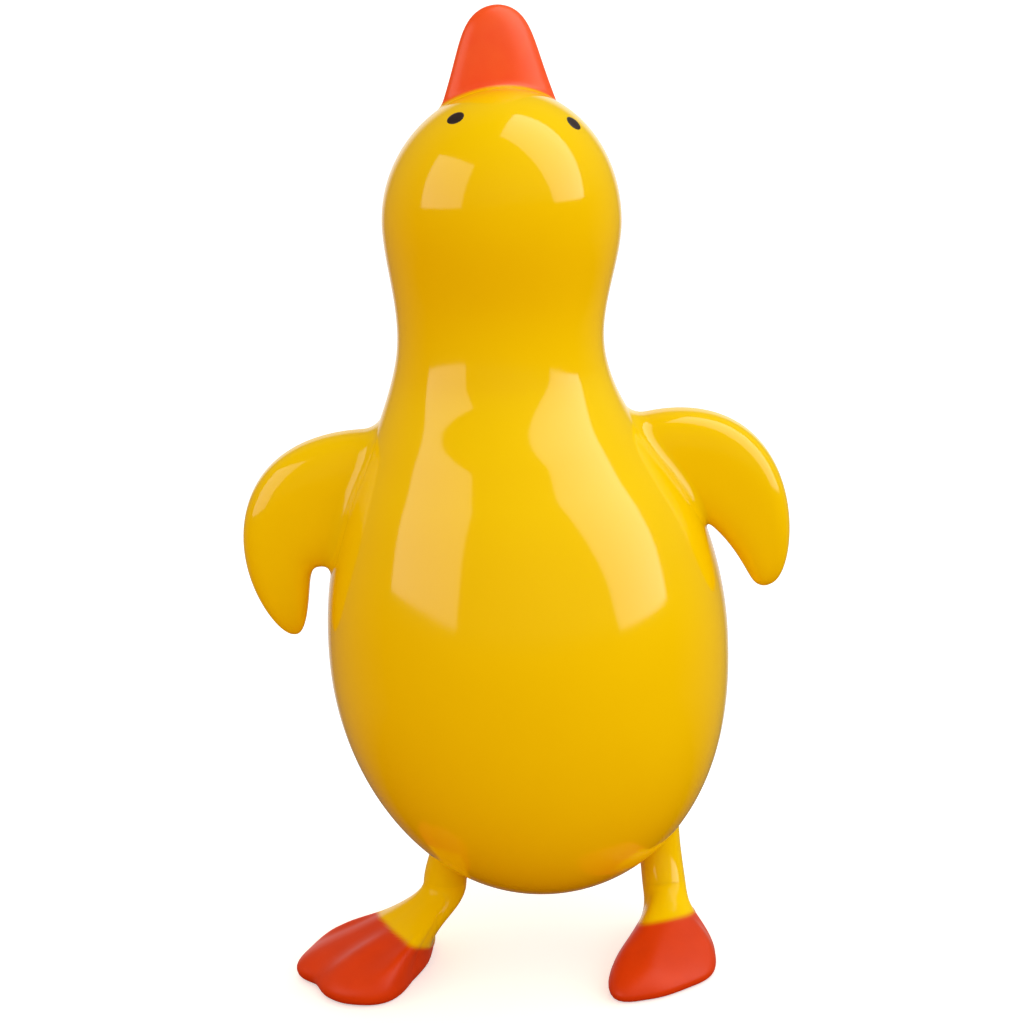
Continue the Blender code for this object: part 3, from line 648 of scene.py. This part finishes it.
turns = np.linspace(0.0, 2.0 * np.pi, BILL_SIDES, endpoint=False)
rows, t_leave = root(bill_points, turns, np.full(BILL_SIDES, BILL_FILLET))
s = np.linspace(0.0, 1.0, BILL_ROWS)[1:, None]
bill_rows = bill_points(t_leave + (1.0 - t_leave) * (1.0 - (1.0 - s) ** 2), turns[None, :])
bill_grid = np.concatenate([rows, bill_rows])
bill_cover = smooth_step((off_skin(bill_grid) - BILL_PAINT_FROM) / BILL_PAINT_FADE)
bill = add_skin("bill_skin", bill_grid, bill_cover)
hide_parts("bill")
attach(bill, "head")

# %% [markdown]
# ## Eyes
# Each eye is a round dab of dark paint, about 4 mm wide, that follows the curve of the head. A
# decal could show it, but a thin dome that sinks into the skin at its edge gives a real edge of
# paint.

# %% Eye dots
EYE_PLACES = {"left": (69.1, 49.3), "right": (-46.4, 60.9)}
EYE_RADIUS = 2.1
EYE_PROUD = 0.16
EYE_SUNK = 0.25
EYE_FLATNESS = 4
EYE_ROWS = 12
EYE_SIDES = 64


def eye_grid(side):
    """Dome over a disc on the crown: azimuth and latitude shift with the share from the middle,
    and the lift falls from proud in the middle to under the skin at the edge; the back is closed."""
    azimuth, latitude = np.radians(EYE_PLACES[side])
    share = np.linspace(0.0, 1.0, EYE_ROWS)[:, None]
    turn = np.linspace(0.0, 2.0 * np.pi, EYE_SIDES, endpoint=False)
    up = latitude + share * np.cos(turn) * EYE_RADIUS / CROWN_RISE
    about = azimuth + share * np.sin(turn) * EYE_RADIUS / (HEAD_RADIUS * np.cos(latitude))
    height = HEAD_HEIGHT + CROWN_RISE * np.sin(up)
    radius = HEAD_RADIUS * np.cos(up)
    x = sway(height) + radius * np.sin(about)
    y = lean(height) - radius * np.cos(about)
    skin = np.stack([x, y, height], axis=-1)
    normal = skin_normal(skin)
    lift = (EYE_PROUD + EYE_SUNK) * np.sqrt(1.0 - share**EYE_FLATNESS)[..., None] - EYE_SUNK
    return np.concatenate([skin + normal * lift, (skin - normal * 2.0 * EYE_SUNK)[::-1]])


eyes = []
for side in HANDS:
    eye = add_skin(f"eye_{side}_dot", eye_grid(side))
    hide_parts(f"eye_{side}")
    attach(eye, "head")
    eyes.append(eye)

# %% [markdown]
# ## Finishes
# Every finish starts from the real material. A node tree is easier to read when one small function
# adds each node with its settings and its links, so every node below comes from it. Colours are
# written as sRGB hex values, as a paint chart gives them, and turned to linear light.

# %% Nodes and colours
MIX_FIRST = 6
MIX_SECOND = 7
MIX_RESULT = 2


def linear(hex_colour):
    """Linear red, green, blue and 1 from a hex colour, by the sRGB curve."""
    code = hex_colour.lstrip("#")
    channels = np.array([int(code[i : i + 2], 16) for i in (0, 2, 4)]) / 255.0
    curve = np.where(channels <= 0.04045, channels / 12.92, ((channels + 0.055) / 1.055) ** 2.4)
    return (*curve.tolist(), 1.0)


def add_node(tree, kind, inputs=None, **settings):
    """Adds a node; an input takes a value, or an output socket to link."""
    node = tree.nodes.new(kind)
    for word, value in settings.items():
        setattr(node, word, value)
    for key, value in (inputs or {}).items():
        if isinstance(value, bpy.types.NodeSocket):
            tree.links.new(value, node.inputs[key])
        else:
            node.inputs[key].default_value = value
    return node


def new_finish(name):
    """Empty material with its tree and its output node."""
    material = bpy.data.materials.new(name)
    material.use_nodes = True
    material.node_tree.nodes.clear()
    return material, material.node_tree, add_node(material.node_tree, "ShaderNodeOutputMaterial")


print("mid grey in linear light", round(linear("#808080")[0], 3))

# %% [markdown]
# ## Yellow vinyl
# Plasticised vinyl with a warm yellow pigment comes out of a polished mould with a wet gloss. Shaded
# places look more orange than lit ones. Scattering under the skin could give that, but the warm light
# from the floor already does, so a plain glossy surface is enough. The pigment is slightly cloudy at
# about 25 mm, and the skin has a shallow orange peel at about 6 mm.

# %% Yellow vinyl
VINYL_YELLOW = "#FDD603"
VINYL_DEEP = "#FAD001"
VINYL_ROUGHNESS = 0.09
CLOUD_SIZE = 25.0
PEEL_SIZE = 6.0
PEEL_HEIGHT = 0.006


def vinyl_colour(tree, place):
    """Colour of the cloudy yellow pigment at a place."""
    cloud = add_node(tree, "ShaderNodeTexNoise", {
        "Vector": place, "Scale": 1.0 / (CLOUD_SIZE * MM), "Detail": 2.0,
    })
    mix = add_node(tree, "ShaderNodeMix", {
        "Factor": cloud.outputs["Fac"], MIX_FIRST: linear(VINYL_DEEP), MIX_SECOND: linear(VINYL_YELLOW),
    }, data_type="RGBA")
    return mix.outputs[MIX_RESULT]


def peel_bump(tree, place):
    """Normal of the shallow waves that the mould leaves."""
    waves = add_node(tree, "ShaderNodeTexNoise", {
        "Vector": place, "Scale": 1.0 / (PEEL_SIZE * MM), "Detail": 1.0,
    })
    bump = add_node(tree, "ShaderNodeBump", {
        "Height": waves.outputs["Fac"], "Distance": PEEL_HEIGHT * MM,
    })
    return bump.outputs["Normal"]


yellow_vinyl, tree, output = new_finish("yellow_vinyl_moulded")
place = add_node(tree, "ShaderNodeTexCoord").outputs["Object"]
gloss = add_node(tree, "ShaderNodeBsdfPrincipled", {
    "Base Color": vinyl_colour(tree, place),
    "Roughness": VINYL_ROUGHNESS,
    "Normal": peel_bump(tree, place),
})
tree.links.new(gloss.outputs["BSDF"], output.inputs["Surface"])
bare_skins = ("body_skin", "wing_left_skin", "wing_right_skin", "leg_left_skin", "leg_right_skin")
for name in bare_skins:
    bpy.data.objects[name].data.materials.append(yellow_vinyl)
print("yellow vinyl on", len(bare_skins), "skins")

# %% [markdown]
# ## Sprayed paint
# Bill and feet are sprayed with a flexible vinyl paint. It dries to a satin, less glossy than the bare
# skin, and lies a little thicker and thinner in clouds of a few millimetres. Where the spray ends the
# mesh carries its share of paint, and colour and gloss go over to the bare yellow with it.

# %% Bill and foot paint
SPRAY_CLOUD = 5.0
SPRAY_GRAIN = 0.5
SPRAY_GRAIN_HEIGHT = 0.004


def sprayed(name, thin, thick, roughness, shine):
    """Paint of two shades in clouds, mixed over the yellow vinyl by the share of paint."""
    material, tree, output = new_finish(name)
    place = add_node(tree, "ShaderNodeTexCoord").outputs["Object"]
    share = add_node(tree, "ShaderNodeAttribute", attribute_name="paint").outputs["Fac"]
    cloud = add_node(tree, "ShaderNodeTexNoise", {
        "Vector": place, "Scale": 1.0 / (SPRAY_CLOUD * MM), "Detail": 3.0,
    })
    shade = add_node(tree, "ShaderNodeMix", {
        "Factor": cloud.outputs["Fac"], MIX_FIRST: linear(thin), MIX_SECOND: linear(thick),
    }, data_type="RGBA")
    colour = add_node(tree, "ShaderNodeMix", {
        "Factor": share, MIX_FIRST: vinyl_colour(tree, place), MIX_SECOND: shade.outputs[MIX_RESULT],
    }, data_type="RGBA")
    rough = add_node(tree, "ShaderNodeMapRange", {
        "Value": share, "To Min": VINYL_ROUGHNESS, "To Max": roughness,
    })
    grain = add_node(tree, "ShaderNodeTexNoise", {
        "Vector": place, "Scale": 1.0 / (SPRAY_GRAIN * MM), "Detail": 2.0,
    })
    bump = add_node(tree, "ShaderNodeBump", {
        "Height": grain.outputs["Fac"], "Strength": share, "Distance": SPRAY_GRAIN_HEIGHT * MM,
    })
    satin = add_node(tree, "ShaderNodeBsdfPrincipled", {
        "Base Color": colour.outputs[MIX_RESULT], "Roughness": rough.outputs["Result"],
        "Normal": bump.outputs["Normal"], "Specular IOR Level": shine,
    })
    tree.links.new(satin.outputs["BSDF"], output.inputs["Surface"])
    return material


bill_paint = sprayed("bill_paint_satin", thin="#FF601E", thick="#FC4E12", roughness=0.3, shine=0.35)
foot_paint = sprayed("foot_paint_satin", thin="#E64409", thick="#D83A06", roughness=0.38, shine=0.14)
bill.data.materials.append(bill_paint)
for foot in feet:
    foot.data.materials.append(foot_paint)
print("paint on the bill and", len(feet), "feet")

# %% [markdown]
# ## Eye paint, squeaker plastic and reed brass
# The eyes are a dab of brown-black enamel. The squeaker under the belly is moulded in plain
# off-white polythene, a little waxy, and its tongue is thin rolled brass with fine lines along it.

# %% Small finishes
ENAMEL_CLOUD = 1.0
PLASTIC_GRAIN = 0.8
ROLLING_LINE = 0.15
ROLLED = (1.0, 1.0, 0.04)
CLOUD_HEIGHT = 0.004


def clouded(name, first, second, size, roughness, metallic=0.0, stretch=(1.0, 1.0, 1.0)):
    """Finish of two shades in clouds of a size in mm, stretched along an axis where it was rolled."""
    material, tree, output = new_finish(name)
    place = add_node(tree, "ShaderNodeTexCoord").outputs["Object"]
    drawn = add_node(tree, "ShaderNodeMapping", {"Vector": place, "Scale": stretch})
    cloud = add_node(tree, "ShaderNodeTexNoise", {
        "Vector": drawn.outputs["Vector"], "Scale": 1.0 / (size * MM), "Detail": 3.0,
    })
    colour = add_node(tree, "ShaderNodeMix", {
        "Factor": cloud.outputs["Fac"], MIX_FIRST: linear(first), MIX_SECOND: linear(second),
    }, data_type="RGBA")
    bump = add_node(tree, "ShaderNodeBump", {
        "Height": cloud.outputs["Fac"], "Distance": CLOUD_HEIGHT * MM,
    })
    surface = add_node(tree, "ShaderNodeBsdfPrincipled", {
        "Base Color": colour.outputs[MIX_RESULT], "Roughness": roughness, "Metallic": metallic,
        "Normal": bump.outputs["Normal"],
    })
    tree.links.new(surface.outputs["BSDF"], output.inputs["Surface"])
    return material


enamel = clouded("eye_enamel", "#2A1A12", "#38241A", ENAMEL_CLOUD, roughness=0.5)
for eye in eyes:
    eye.data.materials.append(enamel)
polythene = clouded("squeaker_polythene", "#E6E2D6", "#DCD8CA", PLASTIC_GRAIN, roughness=0.42)
brass = clouded(
    "reed_brass_rolled", "#D9B366", "#C9A257", ROLLING_LINE, roughness=0.28, metallic=1.0, stretch=ROLLED
)
for name in ("squeaker_case", "reed_bed", "reed_clamp", "reed"):
    node = frame["nodes"][name]
    node.data.materials.clear()
    node.data.materials.append(brass if name == "reed" else polythene)
print("enamel on", len(eyes), "eyes; polythene and brass on the squeaker")

# %% [markdown]
# ## Studio
# The camera looks a little down on the bird and is rolled a few degrees, as the photograph was taken.
# Two softboxes left and right of it leave the long bright patches on breast and head. They are set to
# give only that shine, because the soft light comes from the room.

# %% Camera
LOOK_DOWN = np.radians(18.0)
CAMERA_ROLL = np.radians(3.8)
CAMERA_DISTANCE = 700.0
LOOK_AT = np.array([-1.364, 0.0, 95.18])
PIXELS_PER_SLOPE = 3500.0
PICTURE_PIXELS = 1024.0
SENSOR_WIDTH = 36.0


def placed(aside, rising, towards, place):
    """Matrix that turns an object's own axes to three directions and moves it to a place."""
    columns = np.stack([aside, rising, towards, place], axis=1)
    return Matrix(np.vstack([columns, (0.0, 0.0, 0.0, 1.0)]).tolist())


right = np.array([1.0, 0.0, 0.0])
up = np.array([0.0, np.sin(LOOK_DOWN), np.cos(LOOK_DOWN)])
back = np.array([0.0, -np.cos(LOOK_DOWN), np.sin(LOOK_DOWN)])
c, s = np.cos(CAMERA_ROLL), np.sin(CAMERA_ROLL)
place = (LOOK_AT + back * CAMERA_DISTANCE) * MM
camera = bpy.data.objects.new("camera", bpy.data.cameras.new("camera"))
camera.matrix_world = placed(right * c - up * s, right * s + up * c, back, place)
camera.data.sensor_width = SENSOR_WIDTH
camera.data.lens = SENSOR_WIDTH * PIXELS_PER_SLOPE / PICTURE_PIXELS
bpy.context.scene.collection.objects.link(camera)
bpy.context.scene.camera = camera
bpy.context.scene.view_settings.view_transform = "Standard"
print("lens", round(camera.data.lens, 2), "mm")

# %% Softboxes
# name; azimuth, elevation and roll in degrees; width and height in metres; brightness of both edges
SOFTBOXES = (
    ("softbox_right", 70.5, 40.0, 0.0, 0.83, 1.78, (1.6, 3.4)),
    ("softbox_left", -62.0, 21.3, -1.0, 0.84, 0.70, (2.0, 1.4)),
)
SOFTBOX_DISTANCE = 0.95
AIM_HEIGHT = 0.1

for name, azimuth, elevation, roll, wide, tall, (first_edge, second_edge) in SOFTBOXES:
    a, e, r = np.radians((azimuth, elevation, roll))
    towards = np.array([np.sin(a) * np.cos(e), -np.cos(a) * np.cos(e), np.sin(e)])
    aside = np.array([np.cos(a), np.sin(a), 0.0])
    rising = np.cross(towards, aside)
    aside, rising = aside * np.cos(r) + rising * np.sin(r), rising * np.cos(r) - aside * np.sin(r)
    place = towards * SOFTBOX_DISTANCE + (0.0, 0.0, AIM_HEIGHT)
    lamp = bpy.data.lights.new(name, "AREA")
    lamp.shape = "RECTANGLE"
    lamp.size, lamp.size_y = wide, tall
    lamp.energy = np.pi * wide * tall
    lamp.use_nodes = True
    tree = lamp.node_tree
    tree.nodes.clear()
    across = add_node(tree, "ShaderNodeNewGeometry").outputs["Parametric"]
    spot = add_node(tree, "ShaderNodeSeparateXYZ", {"Vector": across})
    ramp = add_node(tree, "ShaderNodeMapRange", {
        "Value": spot.outputs["X"], "To Min": first_edge, "To Max": second_edge,
    })
    shine = add_node(tree, "ShaderNodeEmission", {"Strength": ramp.outputs["Result"]})
    tree.links.new(shine.outputs[0], add_node(tree, "ShaderNodeOutputLight").inputs["Surface"])
    box = bpy.data.objects.new(name, lamp)
    box.matrix_world = placed(aside, rising, towards, place)
    box.visible_camera = False
    box.visible_diffuse = False
    bpy.context.scene.collection.objects.link(box)
    print(name, "is", wide, "by", tall, "m and shines from", azimuth, "degrees")

# %% [markdown]
# ## Room and floor
# The room is a soft white tent, brighter on the right, and it lights the bird. In reflections it is
# dim in front of the bird and white behind it, so the gloss stays calm and the rims turn pale. The
# floor throws warm light back up, which shows as orange on the shaded belly. To the camera floor and
# room are white, with a soft shadow left under the feet.

# %% Room
ROOM_BRIGHT_SIDE = (0.77, 0.0, -0.63)
ROOM_DIM = "#AE9E89"
ROOM_BRIGHT = "#F6FFFF"
ROOM_STRENGTH = 1.85
BACKDROP_STOPS = ((0.02, "#2E2620"), (0.5, "#605C58"), (0.86, "#686460"), (0.95, "#FFFFFF"))
BACKDROP_LOW = (-0.4, -0.8)
WHITE = linear("#FFFFFF")

world = bpy.data.worlds.new("room")
world.use_nodes = True
bpy.context.scene.world = world
tree = world.node_tree
tree.nodes.clear()
rays = add_node(tree, "ShaderNodeLightPath")
spot = add_node(tree, "ShaderNodeTexCoord").outputs["Generated"]
side = add_node(tree, "ShaderNodeVectorMath", {0: spot, 1: ROOM_BRIGHT_SIDE}, operation="DOT_PRODUCT")
level = add_node(tree, "ShaderNodeMapRange", {"Value": side.outputs["Value"], "From Min": -1.0})
tint = add_node(tree, "ShaderNodeMix", {
    "Factor": level.outputs["Result"], MIX_FIRST: linear(ROOM_DIM), MIX_SECOND: linear(ROOM_BRIGHT),
}, data_type="RGBA")
room = add_node(tree, "ShaderNodeBackground", {
    "Color": tint.outputs[MIX_RESULT], "Strength": ROOM_STRENGTH,
})
white = add_node(tree, "ShaderNodeBackground", {"Color": WHITE, "Strength": 1.0})
way = add_node(tree, "ShaderNodeSeparateXYZ", {"Vector": spot})
low = add_node(tree, "ShaderNodeMapRange", {
    "Value": way.outputs["Z"], "From Min": BACKDROP_LOW[0], "From Max": BACKDROP_LOW[1],
})
behind = add_node(tree, "ShaderNodeMath", {
    0: way.outputs["Y"], 1: low.outputs["Result"],
}, operation="SUBTRACT")
ramp = add_node(tree, "ShaderNodeValToRGB", {"Fac": behind.outputs[0]})
for place, colour in BACKDROP_STOPS:
    stop = ramp.color_ramp.elements.new(place)
    stop.color = linear(colour)
gloss_room = add_node(tree, "ShaderNodeBackground", {"Color": ramp.outputs["Color"]})
shiny = add_node(tree, "ShaderNodeMath", {
    0: rays.outputs["Is Glossy Ray"], 1: rays.outputs["Is Transmission Ray"],
}, operation="MAXIMUM")
lit = add_node(tree, "ShaderNodeMixShader", {
    0: shiny.outputs[0], 1: room.outputs[0], 2: gloss_room.outputs[0],
})
seen = add_node(tree, "ShaderNodeMixShader", {
    0: rays.outputs["Is Camera Ray"], 1: lit.outputs[0], 2: white.outputs[0],
})
tree.links.new(seen.outputs[0], add_node(tree, "ShaderNodeOutputWorld").inputs["Surface"])
print("room strength", ROOM_STRENGTH)

# %% Floor
FLOOR_HALF = 3.0
FLOOR_BOUNCE = "#D09F6C"
FLOOR_COLOUR = "#F0F0F0"
FLOOR_GLOW = 0.5

floor_mesh = bpy.data.meshes.new("floor")
corners = FLOOR_HALF * np.array([(-1.0, -1.0, 0.0), (1.0, -1.0, 0.0), (1.0, 1.0, 0.0), (-1.0, 1.0, 0.0)])
floor_mesh.from_pydata(corners.tolist(), [], [(0, 1, 2, 3)])
floor = bpy.data.objects.new("floor", floor_mesh)
bpy.context.scene.collection.objects.link(floor)
floor.visible_glossy = False

floor_paper, tree, output = new_finish("floor_paper")
rays = add_node(tree, "ShaderNodeLightPath")
bounce = add_node(tree, "ShaderNodeBsdfDiffuse", {"Color": linear(FLOOR_BOUNCE)})
paper = add_node(tree, "ShaderNodeBsdfDiffuse", {"Color": linear(FLOOR_COLOUR)})
glow = add_node(tree, "ShaderNodeEmission", {"Color": WHITE, "Strength": FLOOR_GLOW})
both = add_node(tree, "ShaderNodeAddShader", {0: paper.outputs[0], 1: glow.outputs[0]})
mixed = add_node(tree, "ShaderNodeMixShader", {
    0: rays.outputs["Is Camera Ray"], 1: bounce.outputs[0], 2: both.outputs[0],
})
tree.links.new(mixed.outputs[0], output.inputs["Surface"])
floor.data.materials.append(floor_paper)
print("floor", 2.0 * FLOOR_HALF, "m wide")
